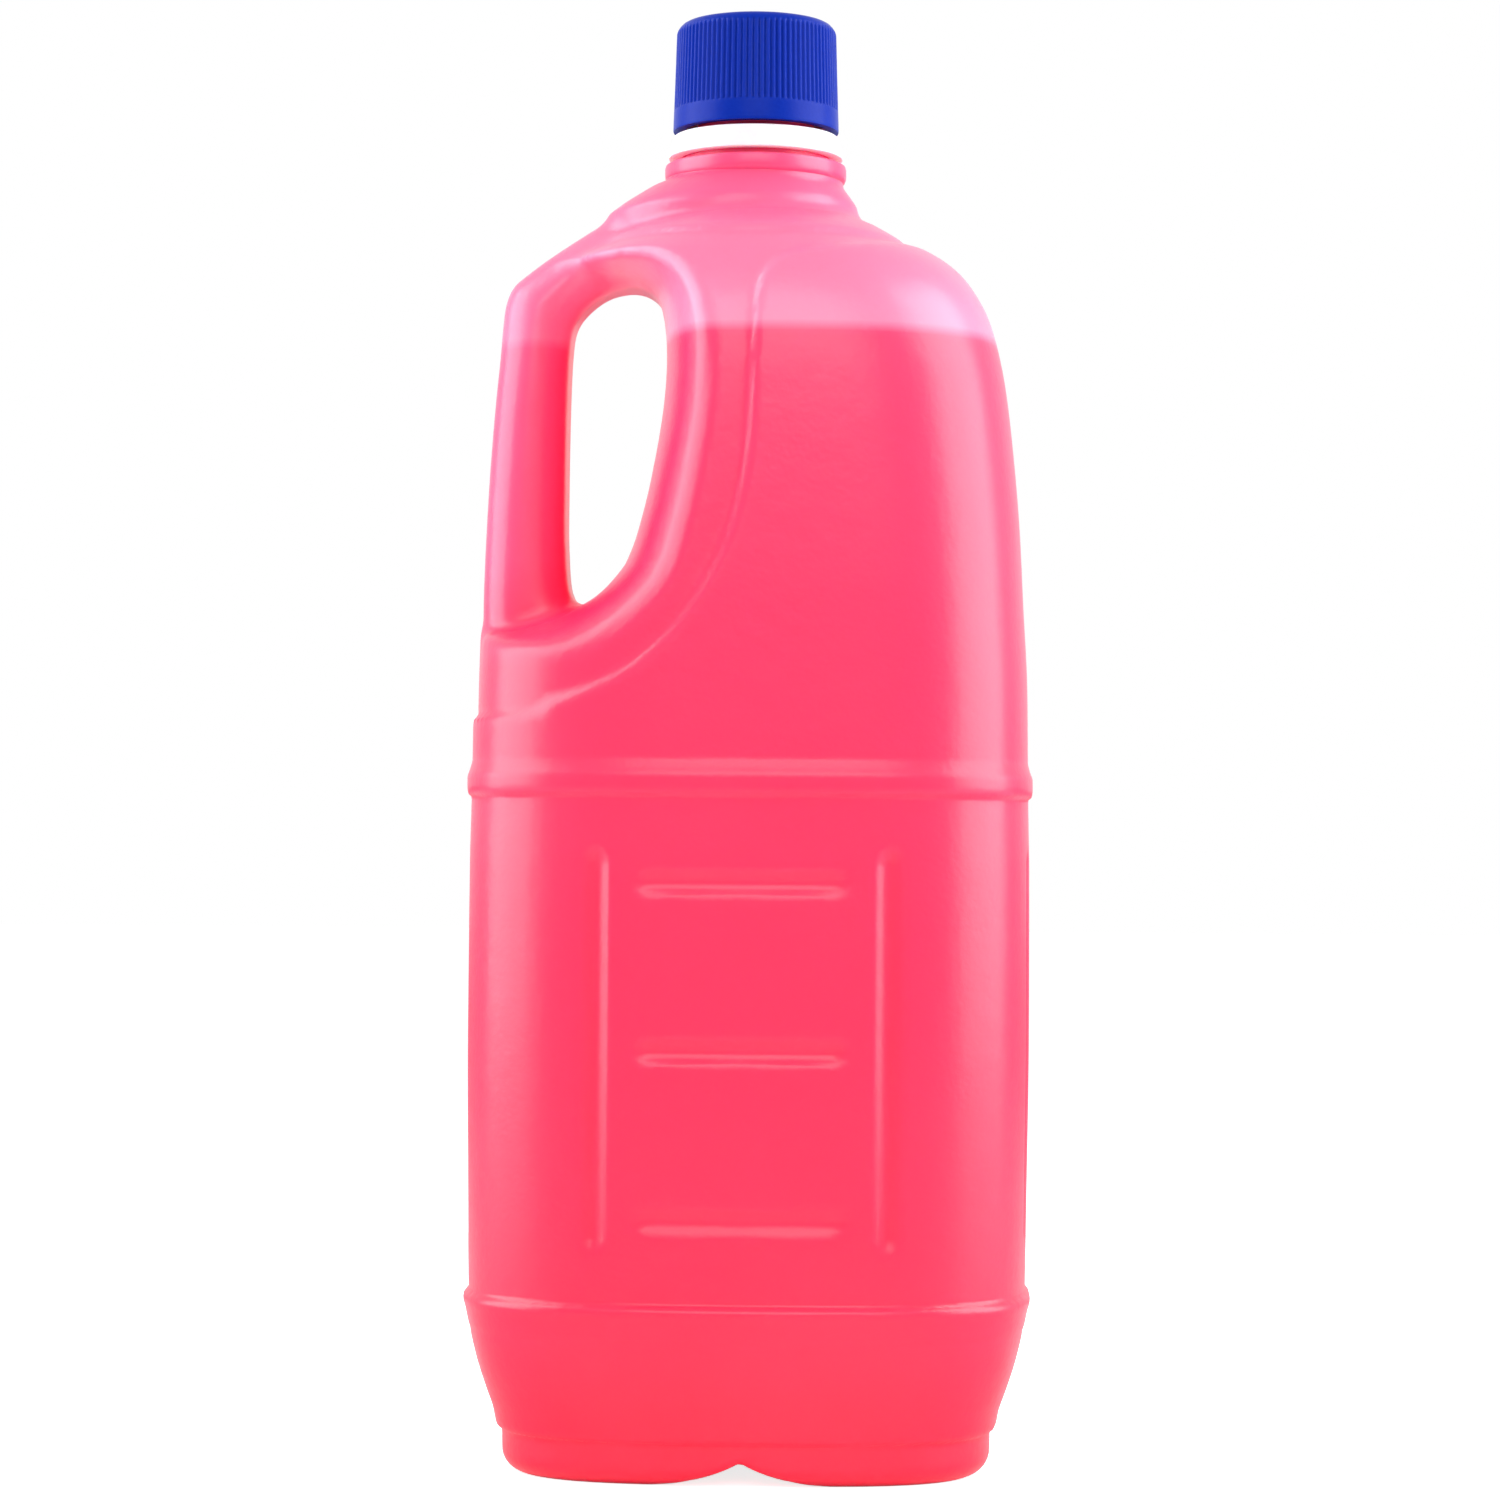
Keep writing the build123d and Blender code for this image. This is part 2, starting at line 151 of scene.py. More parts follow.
# Pressed grooves: two ends and the radius of a bar laid into the surface
FRONT_GROOVE = ((30.0, 44.3, 50.8), (30.0, 44.3, 126.6), 3.0)
SIDE_GROOVE = ((60.1, 15.0, 50.8), (60.1, 15.0, 126.6), 2.6)
RIB_HEIGHTS = (54.1, 88.3, 122.4)
RIB_HALF = 19.0
RIB_DEPTHS = (45.7, 45.3)
RIB_RADIUS = 2.6
GROOVE_BLEND = 0.9

# Channel under the base, and the sole's round
CHANNEL_RISE = 4.9
CHANNEL_FALL = 0.52
CHANNEL_SLANT = 1.13
CHANNEL_BLEND = 1.6
SOLE_ROUND = 4.2

# Wall and level of the alcohol
WALL = 1.3
LEVEL = 235.0

# Where the blown body ends under the collar, and the closure's threads and drive lugs
BODY_TOP = 271.9
THREAD_BOTTOM = 286.0
THREAD_LEAD = 8.4
THREAD_STARTS = (0.0, math.pi)
LUGS = 8
LUG_PITCH = 2 * math.pi / LUGS
LUG_HALF = math.radians(10)
LUG_RADII = (8.0, 13.0)

# Set: half size of the floor in metres, the camera's view in degrees, and its shift as a share of the frame
FLOOR = 6.0
VIEW_ANGLE = 21.07
SHIFT = -0.0011333


def through(points, closed=False, steps=8):
    """Points of a smooth line through the given ones."""
    p = np.array(points, float)
    n = len(p)
    out = []
    for i in range(n if closed else n - 1):
        a, b, c, d = (p[(i + k) % n] if closed else p[min(max(i + k, 0), n - 1)] for k in (-1, 0, 1, 2))
        for t in np.linspace(0, 1, steps, endpoint=False):
            bend = (3 * b - a - 3 * c + d) * t**3
            out.append(0.5 * ((2 * b) + (c - a) * t + (2 * a - 5 * b + 4 * c - d) * t**2 + bend))
    if not closed:
        out.append(p[-1])
    return np.array(out)


def distance_to(line, closed, x, z):
    """Signed distance in the XZ plane to a line, positive on its left, or inside it if it is closed."""
    a = line if closed else line[:-1]
    b = np.roll(line, -1, axis=0) if closed else line[1:]
    best = np.full(x.shape, 1e9)
    sign = np.ones(x.shape)
    within = np.zeros(x.shape, bool)
    for (ax, az), (bx, bz) in zip(a, b):
        ex, ez = bx - ax, bz - az
        t = np.clip(((x - ax) * ex + (z - az) * ez) / (ex * ex + ez * ez), 0, 1)
        dx, dz = x - ax - t * ex, z - az - t * ez
        d = dx * dx + dz * dz
        side = ex * (z - az) - ez * (x - ax)
        nearer = d < best - 1e-9
        best = np.where(nearer, d, best)
        sign = np.where(nearer, np.where(side >= 0, 1.0, -1.0), sign)
        if az != bz:
            within ^= ((az > z) != (bz > z)) & (x < ax + (z - az) * ex / ez)
    if closed:
        sign = np.where(within, 1.0, -1.0)
    return np.sqrt(best) * sign


class Field:
    """A distance kept on an even grid in the XZ plane, and read back smoothly."""

    def __init__(self, line, closed):
        self.step = 0.5
        self.x0, self.z0 = -64.0, -6.0
        self.nx, self.nz = 257, 570
        x = self.x0 + self.step * np.arange(self.nx)
        z = self.z0 + self.step * np.arange(self.nz)
        self.grid = distance_to(line, closed, *np.meshgrid(x, z, indexing="ij"))

    def __call__(self, x, z):
        u = np.clip((x - self.x0) / self.step, 0, self.nx - 1.001)
        v = np.clip((z - self.z0) / self.step, 0, self.nz - 1.001)
        i, j = u.astype(int), v.astype(int)
        s, t = u - i, v - j
        g = self.grid
        low = g[i, j] * (1 - s) + g[i + 1, j] * s
        high = g[i, j + 1] * (1 - s) + g[i + 1, j + 1] * s
        return low * (1 - t) + high * t


def curve_table(rows):
    """Reads a table smoothly at any height, without overshooting its values."""
    data = np.array(rows, float)
    h, v = data[:, 0], data[:, 1:]
    slope = np.diff(v, axis=0) / np.diff(h)[:, None]
    m = np.zeros_like(v)
    left, right = slope[:-1], slope[1:]
    same = left * right > 0
    m[1:-1] = np.where(same, 2 * left * right / np.where(same, left + right, 1.0), 0.0)
    m[0], m[-1] = slope[0], slope[-1]

    def read(z):
        z = np.clip(z, h[0], h[-1])
        i = np.clip(np.searchsorted(h, z, side="right") - 1, 0, len(h) - 2)
        w = h[i + 1] - h[i]
        t = ((z - h[i]) / w)[..., None]
        w = w[..., None]
        return (
            (2 * t**3 - 3 * t**2 + 1) * v[i]
            + (t**3 - 2 * t**2 + t) * w * m[i]
            + (-2 * t**3 + 3 * t**2) * v[i + 1]
            + (t**3 - t**2) * w * m[i + 1]
        )

    return read


def join(a, b, k):
    """Smooth union of two distances."""
    h = np.clip(0.5 + 0.5 * (b - a) / k, 0, 1)
    return b + (a - b) * h - k * h * (1 - h)


def keep(a, b, k):
    """Smooth intersection of two distances."""
    return -join(-a, -b, k)


def step_up(value, low, high):
    """A smooth step from 0 to 1 between two values."""
    t = np.clip((value - low) / (high - low), 0, 1)
    return t * t * (3 - 2 * t)


profile = curve_table(PROFILE)
tier_table = curve_table(TIER)
lower_band = curve_table(LOWER_BAND)
upper_band = curve_table(UPPER_BAND)
hole_field = Field(through(HOLE, closed=True), True)
handle_field = Field(through(HANDLE, steps=4), True)
recess_field = Field(through(RECESS_EDGE), False)
panel_field = Field(through(PANEL_EDGE), False)


def oval(x, y, a, b, n):
    """Distance from an upright superellipse."""
    u, v = np.abs(x) / a + 1e-9, np.abs(y) / b + 1e-9
    g = (u**n + v**n) ** (1 / n)
    slope = g ** (1 - n) * np.sqrt((u ** (n - 1) / a) ** 2 + (v ** (n - 1) / b) ** 2)
    return (g - 1) / slope


def bar(x, y, z, p, q, r):
    """Distance from a round-ended bar."""
    p, q = np.array(p, float), np.array(q, float)
    e = q - p
    t = np.clip(((x - p[0]) * e[0] + (y - p[1]) * e[1] + (z - p[2]) * e[2]) / e.dot(e), 0, 1)
    dx, dy, dz = x - p[0] - t * e[0], y - p[1] - t * e[1], z - p[2] - t * e[2]
    return np.sqrt(dx**2 + dy**2 + dz**2) - r


def rounded(a, b, r):
    """Intersection of two distances with an edge of the given radius."""
    u, v = np.maximum(a + r, 0), np.maximum(b + r, 0)
    return np.minimum(np.maximum(a, b) + r, 0) + np.sqrt(u * u + v * v) - r


def panels(x, z, base):
    """The raised front and back panels on the body's oval, with the bands and the notch."""
    lift = lower_band(z)[..., 0] + upper_band(z)[..., 0]
    corner = step_up(-x, *NOTCH_FADE)
    cut = np.clip(1 - ((z - NOTCH_Z) / NOTCH_HALF) ** 2, 0, 1) ** 1.5
    raised = base - (lift - NOTCH_DEPTH * corner * cut)
    edge = 0.6 * panel_field(x, z) + 0.8 * (raised + 0.5 * RELIEF)
    return join(keep(raised, edge, PANEL_BLEND), base + RELIEF, PANEL_BLEND)


def recess(s, y):
    """The elliptical roundover beside the finger hole, at a distance past the recess edge."""
    reach = REACH + REACH_PAST_FRONT * step_up(s, ROUND - 5.0, ROUND + 1.0)
    across = np.clip((ROUND - s) / ROUND, 0, 3)
    along = np.clip((np.abs(y) - FLAT) / reach, 0, 3)
    q = np.sqrt(across**2 + along**2)
    slope = np.sqrt((across / ROUND) ** 2 + (along / reach) ** 2) / np.maximum(q, 1e-6)
    return (q - 1) / np.maximum(slope, 1.0 / reach)


def handle(x, y, z, s, hole):
    """The handle, kept clear of the recess edge to the right of the finger hole."""
    beside_hole = s - 2.0 - 24.0 * step_up(-x, 24.0, 40.0) - 24.0 * step_up(z, 240.0, 250.0)
    flat = np.maximum(np.maximum(-handle_field(x, z), hole), beside_hole)
    side = np.abs(y) - GRIP_DEPTH * (1 - GRIP_TAPER * step_up(z, 225, 262))
    return rounded(flat, side, GRIP_ROUND)


def grooves(x, y, z):
    """Every groove pressed into the grip panel, mirrored to all sides."""
    ax, ay = np.abs(x), np.abs(y)
    cuts = np.minimum(bar(ax, ay, z, *FRONT_GROOVE), bar(ax, ay, z, *SIDE_GROOVE))
    for height in RIB_HEIGHTS:
        ends = (0.0, RIB_DEPTHS[0], height), (RIB_HALF, RIB_DEPTHS[1], height)
        cuts = np.minimum(cuts, bar(ax, ay, z, *ends, RIB_RADIUS))
    return cuts


def form(x, y, z):
    """The outside of the bottle below its neck: negative inside, in millimetres."""
    row = profile(z)
    a, b, n = row[..., 0], row[..., 1], row[..., 2]
    up = profile(z + 0.2)
    steep = np.sqrt(1 + ((up[..., 0] - a) / 0.2) ** 2)
    base = oval(x, y, a, b, n) / steep

    s = np.where(z > RECESS_TOP, WELL_INSIDE, EDGE_SHIFT - recess_field(x, z))
    body = keep(panels(x, z, base), recess(s, y), RECESS_BLEND)

    step = tier_table(z)
    tier = oval(x - step[..., 0], y, step[..., 1], step[..., 2], 2.0) / TIER_SLANT
    body = join(body, keep(tier, TIER_BOTTOM - z, PANEL_BLEND), TIER_BLEND)

    hole = hole_field(x, z)
    body = join(body, handle(x, y, z, s, hole), GRIP_BLEND)
    body = keep(body, hole, HOLE_BLEND)

    near = (z > 44.0) & (z < 134.0)
    if near.any():
        body[near] = keep(body[near], -grooves(x[near], y[near], z[near]), GROOVE_BLEND)

    channel = (CHANNEL_RISE - z - CHANNEL_FALL * np.abs(x)) / CHANNEL_SLANT
    body = keep(body, channel, CHANNEL_BLEND)
    return rounded(body, -z, SOLE_ROUND)


def filling(x, y, z):
    """The alcohol: the bottle's form drawn in by its wall, up to its level."""
    return np.maximum(form(x, y, z) + WALL, z - LEVEL)


def spaced(*spans):
    """Grid heights from spans of (start, end, spacing)."""
    marks = []
    for start, end, gap in spans:
        count = max(1, int(round((end - start) / gap)))
        marks.extend(start + (end - start) * k / count for k in range(count))
    marks.append(spans[-1][1])
    return np.array(marks)


def surface_net(field, xs, ys, zs):
    """Vertices and quads on the zero level of a field, refined onto it."""
    X, Y, Z = np.meshgrid(xs, ys, zs, indexing="ij")
    F = field(X.ravel(), Y.ravel(), Z.ravel()).reshape(X.shape)
    shape = tuple(k - 1 for k in F.shape)
    total = np.zeros(shape + (3,))
    count = np.zeros(shape)
    edges = []
    axes = (xs, ys, zs)
    for axis in range(3):
        lo = [slice(None)] * 3
        hi = [slice(None)] * 3
        lo[axis], hi[axis] = slice(0, -1), slice(1, None)
        f0, f1 = F[tuple(lo)], F[tuple(hi)]
        idx = np.argwhere((f0 < 0) != (f1 < 0))
        i, j, k = idx.T
        v0, v1 = f0[i, j, k], f1[i, j, k]
        t = v0 / (v0 - v1)
        pos = np.stack([xs[i], ys[j], zs[k]], axis=1)
        line = axes[axis]
        pos[:, axis] += t * (line[idx[:, axis] + 1] - line[idx[:, axis]])
        others = [d for d in range(3) if d != axis]
        ok = np.ones(len(idx), bool)
        for d in others:
            ok &= (idx[:, d] >= 1) & (idx[:, d] <= F.shape[d] - 2)
        idx, pos, inside = idx[ok], pos[ok], (v0 < 0)[ok]
        corners = []
        for da, db in ((0, 0), (1, 0), (1, 1), (0, 1)):
            c = idx.copy()
            c[:, others[0]] -= da
            c[:, others[1]] -= db
            corners.append(c)
            np.add.at(total, tuple(c.T), pos)
            np.add.at(count, tuple(c.T), 1)
        flip = inside if axis != 1 else ~inside
        edges.append((corners, flip))
    used = count > 0
    number = np.full(shape, -1)
    number[used] = np.arange(used.sum())
    points = total[used] / count[used][:, None]
    quads = []
    for corners, flip in edges:
        q = np.stack([number[tuple(c.T)] for c in corners], axis=1)
        q[~flip] = q[~flip][:, ::-1]
        quads.append(q)
    h = 0.12
    start = points.copy()
    for _ in range(4):
        x, y, z = points.T
        f = field(x, y, z)
        g = np.stack(
            [
                (field(x + h, y, z) - field(x - h, y, z)) / (2 * h),
                (field(x, y + h, z) - field(x, y - h, z)) / (2 * h),
                (field(x, y, z + h) - field(x, y, z - h)) / (2 * h),
            ],
            axis=1,
        )
        move = -(f / np.maximum((g * g).sum(axis=1), 0.05))[:, None] * g
        points = points + np.clip(move, -0.6, 0.6)
    points = start + np.clip(points - start, -1.2, 1.2)
    return points, np.concatenate(quads)


def mesh_object(name, points, faces):
    """A mesh object from points in millimetres."""
    data = bpy.data.meshes.new(name)
    data.from_pydata((np.asarray(points) * MM).tolist(), [], [list(map(int, f)) for f in faces])
    data.validate()
    data.polygons.foreach_set("use_smooth", [True] * len(data.polygons))
    data.update()
    piece = bpy.data.objects.new(name, data)
    bpy.context.scene.collection.objects.link(piece)
    return piece


def trim(points, quads, top):
    """Drops what lies above a height."""
    stays = points[:, 2] <= top
    renumber = np.cumsum(stays) - 1
    good = stays[quads].all(axis=1)
    return points[stays], renumber[quads[good]]


class Parts:
    """Points and faces gathered into one mesh."""

    def __init__(self):
        self.points = []
        self.faces = []

    def add(self, points, faces):
        first = len(self.points)
        self.points.extend(points)
        self.faces.extend([tuple(first + k for k in f) for f in faces])

    def lathe(self, outline, count=96, radius_at=None, closed=True):
        """A turned skin from radius and height points, whose radius may vary round it."""
        rows = len(outline)
        points, faces = [], []
        for r, z in outline:
            for k in range(count):
                turn = 2 * math.pi * k / count
                rr = radius_at(r, z, turn) if radius_at else r
                points.append((rr * math.cos(turn), rr * math.sin(turn), z))
        for i in range(rows if closed else rows - 1):
            j = (i + 1) % rows
            for k in range(count):
                m = (k + 1) % count
                faces.append((i * count + k, i * count + m, j * count + m, j * count + k))
        self.add(points, faces)

    def helix(self, r0, r1, bottom, lead, start, turns, width, crest_share=0.55):
        """A thread ridge from radius r0 to its crest at r1, tapering at both ends."""
        count = int(72 * turns)
        points, faces = [], []
        for k in range(count + 1):
            t = k / count
            turn = start + 2 * math.pi * turns * t
            z = bottom + lead * turns * t
            fade = min(1.0, t * turns * 9, (1 - t) * turns * 9)
            crest = r0 + (r1 - r0) * fade
            half = width / 2
            flat = half * crest_share
            for r, dz in ((r0, -half), (crest, -flat), (crest, flat), (r0, half)):
                points.append((r * math.cos(turn), r * math.sin(turn), z + dz))
        for k in range(count):
            for m in range(4):
                n = (m + 1) % 4
                faces.append((4 * k + m, 4 * k + n, 4 * k + 4 + n, 4 * k + 4 + m))
        faces.append((3, 2, 1, 0))
        faces.append(tuple(4 * count + m for m in range(4)))
        self.add(points, faces)

    def block(self, r0, r1, turn0, turn1, z0, z1, steps=5):
        """A sector block between two radii, turns and heights."""
        points, faces = [], []
        for k in range(steps + 1):
            turn = turn0 + (turn1 - turn0) * k / steps
            for r, z in ((r0, z0), (r1, z0), (r1, z1), (r0, z1)):
                points.append((r * math.cos(turn), r * math.sin(turn), z))
        for k in range(steps):
            for m in range(4):
                n = (m + 1) % 4
                faces.append((4 * k + m, 4 * k + n, 4 * k + 4 + n, 4 * k + 4 + m))
        faces.append((3, 2, 1, 0))
        faces.append(tuple(4 * steps + m for m in range(4)))
        self.add(points, faces)

    def make(self, name):
        return mesh_object(name, self.points, self.faces)


def soften(piece, angle):
    """Smooth shading that stays crisp over edges sharper than an angle."""
    bpy.context.view_layer.objects.active = piece
    for other in bpy.context.selected_objects:
        other.select_set(False)
    piece.select_set(True)
    bpy.ops.object.shade_smooth_by_angle(angle=math.radians(angle))
    piece.select_set(False)


# Materials

def material(name):
    made = bpy.data.materials.new(name)
    made.use_nodes = True
    nodes, links = made.node_tree.nodes, made.node_tree.links
    return made, nodes, links, nodes["Principled BSDF"]


def rgb(r, g, b):
    """A screen colour as the shader's linear colour."""
    out = []
    for v in (r, g, b):
        c = v / 255
        out.append(c / 12.92 if c <= 0.04045 else ((c + 0.055) / 1.055) ** 2.4)
    return (*out, 1.0)


def ramp(nodes, links, source, stops, low=None, high=None):
    """A colour ramp over a value, with the stops in the value's own units."""
    spread = nodes.new("ShaderNodeMapRange")
    spread.inputs["From Min"].default_value = low
    spread.inputs["From Max"].default_value = high
    links.new(source, spread.inputs["Value"])
    colours = nodes.new("ShaderNodeValToRGB")
    band = colours.color_ramp
    while len(band.elements) > 1:
        band.elements.remove(band.elements[0])
    for i, (at, colour) in enumerate(stops):
        place = (at - low) / (high - low)
        if i == 0:
            band.elements[0].position = place
            band.elements[0].color = colour
        else:
            band.elements.new(place).color = colour
    links.new(spread.outputs["Result"], colours.inputs["Fac"])
    return colours.outputs["Color"]


def speckle(nodes, links, scale, strength, distance, detail=3.0, normal=None):
    """A fine noise bump in the object's own space."""
    place = nodes.new("ShaderNodeTexCoord")
    noise = nodes.new("ShaderNodeTexNoise")
    noise.inputs["Scale"].default_value = scale
    noise.inputs["Detail"].default_value = detail
    links.new(place.outputs["Object"], noise.inputs["Vector"])
    bump = nodes.new("ShaderNodeBump")
    bump.inputs["Strength"].default_value = strength
    bump.inputs["Distance"].default_value = distance
    links.new(noise.outputs["Fac"], bump.inputs["Height"])
    if normal is not None:
        links.new(normal, bump.inputs["Normal"])
    return bump.outputs["Normal"], noise.outputs["Fac"]


def bottle_material():
    made, nodes, links, skin = material("bottle_plastic")
    place = nodes.new("ShaderNodeTexCoord")
    split = nodes.new("ShaderNodeSeparateXYZ")
    links.new(place.outputs["Object"], split.inputs["Vector"])
    # Colour by height. Below the level the red darkens towards the foot: partly the deeper body of alcohol,
    # partly painted shade standing in for the darker reflections low on the bottle. At the level it steps
    # up to the pale pink of the empty head space, which deepens again into the shoulder and neck.
    stops = [
        (0.000, rgb(255, 0, 58)),
        (0.012, rgb(255, 0, 62)),
        (0.030, rgb(255, 18, 74)),
        (0.060, rgb(255, 28, 82)),
        (0.140, rgb(255, 34, 90)),
        (0.2340, rgb(255, 44, 102)),
        (0.2351, rgb(255, 60, 116)),
        (0.2361, rgb(255, 132, 170)),
        (0.2420, rgb(255, 128, 168)),
        (0.2560, rgb(255, 118, 160)),
        (0.2660, rgb(255, 88, 140)),
        (0.2720, rgb(255, 66, 122)),
        (0.2760, rgb(255, 66, 122)),
    ]
    colour = ramp(nodes, links, split.outputs["Z"], stops, 0.0, 0.30)

    cloud = nodes.new("ShaderNodeTexNoise")
    cloud.inputs["Scale"].default_value = 14.0
    cloud.inputs["Detail"].default_value = 2.0
    links.new(place.outputs["Object"], cloud.inputs["Vector"])
    tint = nodes.new("ShaderNodeMix")
    tint.data_type = "RGBA"
    tint.blend_type = "MIX"
    tint.inputs["B"].default_value = rgb(255, 90, 124)
    links.new(colour, tint.inputs["A"])
    share = nodes.new("ShaderNodeMapRange")
    share.inputs["From Min"].default_value = 0.45
    share.inputs["From Max"].default_value = 0.8
    share.inputs["To Max"].default_value = 0.10
    links.new(cloud.outputs["Fac"], share.inputs["Value"])
    links.new(share.outputs["Result"], tint.inputs["Factor"])

    inward = nodes.new("ShaderNodeMapRange")
    inward.inputs["From Min"].default_value = -0.034
    inward.inputs["From Max"].default_value = -0.043
    links.new(split.outputs["X"], inward.inputs["Value"])
    upward = nodes.new("ShaderNodeMapRange")
    upward.inputs["From Min"].default_value = 0.166
    upward.inputs["From Max"].default_value = 0.190
    links.new(split.outputs["Z"], upward.inputs["Value"])
    thin = nodes.new("ShaderNodeMath")
    thin.operation = "MULTIPLY"
    links.new(inward.outputs["Result"], thin.inputs[0])
    links.new(upward.outputs["Result"], thin.inputs[1])
    part = nodes.new("ShaderNodeMath")
    part.operation = "MULTIPLY"
    part.inputs[1].default_value = 0.62
    links.new(thin.outputs[0], part.inputs[0])
    grip = nodes.new("ShaderNodeMix")
    grip.data_type = "RGBA"
    grip.inputs["B"].default_value = rgb(255, 88, 140)
    links.new(part.outputs[0], grip.inputs["Factor"])
    links.new(tint.outputs["Result"], grip.inputs["A"])
    links.new(grip.outputs["Result"], skin.inputs["Base Color"])

    fine, grain = speckle(nodes, links, 900.0, 0.10, 0.0004)
    peel, _ = speckle(nodes, links, 210.0, 0.10, 0.0008, 2.0, fine)
    links.new(peel, skin.inputs["Normal"])
    rough = nodes.new("ShaderNodeMapRange")
    rough.inputs["To Min"].default_value = 0.27
    rough.inputs["To Max"].default_value = 0.35
    links.new(grain, rough.inputs["Value"])
    links.new(rough.outputs["Result"], skin.inputs["Roughness"])
    skin.inputs["IOR"].default_value = 1.5
    skin.inputs["Specular IOR Level"].default_value = 0.6
    skin.inputs["Subsurface Weight"].default_value = 0.35
    skin.inputs["Subsurface Radius"].default_value = (1.0, 0.35, 0.4)
    skin.inputs["Subsurface Scale"].default_value = 0.006
    return made


def plastic_material(name, colour, worn, roughness, scale, subsurface=0.0):
    made, nodes, links, skin = material(name)
    normal, grain = speckle(nodes, links, scale, 0.12, 0.0003)
    links.new(normal, skin.inputs["Normal"])
    mix = nodes.new("ShaderNodeMix")
    mix.data_type = "RGBA"
    mix.inputs["A"].default_value = colour
    mix.inputs["B"].default_value = worn
    links.new(grain, mix.inputs["Factor"])
    links.new(mix.outputs["Result"], skin.inputs["Base Color"])
    skin.inputs["Roughness"].default_value = roughness
    skin.inputs["IOR"].default_value = 1.5
    skin.inputs["Subsurface Weight"].default_value = subsurface
    skin.inputs["Subsurface Scale"].default_value = 0.003
    return made


bottle_skin = bottle_material()
blue = plastic_material("blue_plastic", rgb(0, 36, 150), rgb(1, 44, 162), 0.34, 1400.0)
blue.node_tree.nodes["Principled BSDF"].inputs["Specular IOR Level"].default_value = 0.1
ring_white = plastic_material("ring_plastic", rgb(250, 236, 242), rgb(244, 228, 236), 0.4, 1200.0, 0.3)
cap_white = plastic_material("white_plastic", rgb(236, 236, 238), rgb(228, 228, 230), 0.42, 1200.0, 0.15)
foam = plastic_material("foam", rgb(238, 236, 228), rgb(222, 220, 212), 0.85, 2600.0)
liquid = plastic_material("liquid", rgb(255, 60, 96), rgb(255, 66, 100), 0.08, 60.0)


# The bottle's body

# Grid heights, finer at the foot, the bands, the grooves and above the upper band
rows = spaced(
    (-1.5, 12.0, 0.8),
    (12.0, 29.0, 1.5),
    (29.0, 38.4, 0.6),
    (38.4, 47.0, 1.8),
    (47.0, 58.0, 1.2),
    (58.0, 84.0, 1.9),
    (84.0, 92.5, 1.1),
    (92.5, 118.0, 1.9),
    (118.0, 130.0, 1.2),
    (130.0, 139.0, 1.8),
    (139.0, 148.5, 0.6),
    (148.5, 262.0, 1.2),
    (262.0, 274.4, 0.8),
)
across = spaced((-60.6, -16.0, 1.15), (-16.0, 60.6, 1.35))
along = spaced((-46.4, 46.4, 1.25))
points, quads = surface_net(form, across, along, rows)
points, quads = trim(points, quads, BODY_TOP)
body = mesh_object("bottle_body", points, quads)
body.data.materials.append(bottle_skin)

# Neck: collar, skirt, retaining bead, threaded finish and bore
neck = Parts()
neck.lathe(
    [
        (17.4, 270.4), (18.5, 270.9), (19.0, 271.3), (19.25, 271.9), (19.3, 272.6), (19.3, 273.8),
        (19.15, 274.4), (18.7, 274.7), (15.9, 274.75), (15.6, 275.0), (15.6, 280.0), (16.05, 280.25),
        (16.1, 280.5), (15.6, 280.85), (14.4, 281.2), (12.6, 281.6), (12.4, 281.9), (12.4, 298.6),
        (12.2, 299.1), (11.8, 299.3), (11.1, 299.3), (10.8, 299.0), (10.8, 278.2), (11.2, 277.4),
        (16.2, 272.4), (17.0, 271.0),
    ],
    count=128,
    closed=True,
)
for start in THREAD_STARTS:
    neck.helix(12.3, 13.35, THREAD_BOTTOM, THREAD_LEAD, start, 1.15, 1.7)
neck_piece = neck.make("bottle_neck")
soften(neck_piece, 40)
neck_piece.data.materials.append(bottle_skin)

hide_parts("bottle")
for piece in (body, neck_piece):
    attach(piece, "bottle")

# Tamper ring
ring = Parts()
ring.lathe(
    [
        (15.9, 276.05), (18.3, 276.0), (18.52, 276.15), (18.55, 276.5), (18.3, 277.6), (17.75, 279.6),
        (17.4, 280.75), (17.2, 280.88), (16.5, 280.88), (16.4, 280.7), (16.4, 280.0), (16.2, 279.9),
        (15.95, 279.85), (15.87, 279.6), (15.87, 276.3),
    ],
    count=144,
    closed=True,
)
ring_piece = ring.make("tamper_ring_body")
soften(ring_piece, 40)
ring_piece.data.materials.append(ring_white)
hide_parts("tamper_ring")
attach(ring_piece, "bottle")

# Outer cap: a ribbed grip over a plain lip
RIBS = 88
PER_RIB = 8


def grip(r, z, turn):
    """Radius of the cap with its fine ribs."""
    if r < 15.9 or z < 286.0 or z > 303.9:
        return r
    fade = min(1.0, max(0.0, (z - 286.25) / 0.35)) * min(1.0, max(0.0, (303.3 - z) / 0.5))
    phase = (turn * RIBS / (2 * math.pi)) % 1.0
    wave = 0.5 - 0.5 * math.cos(2 * math.pi * phase)
    return r - 0.34 * fade * (1 - min(1.0, 1.55 * wave))


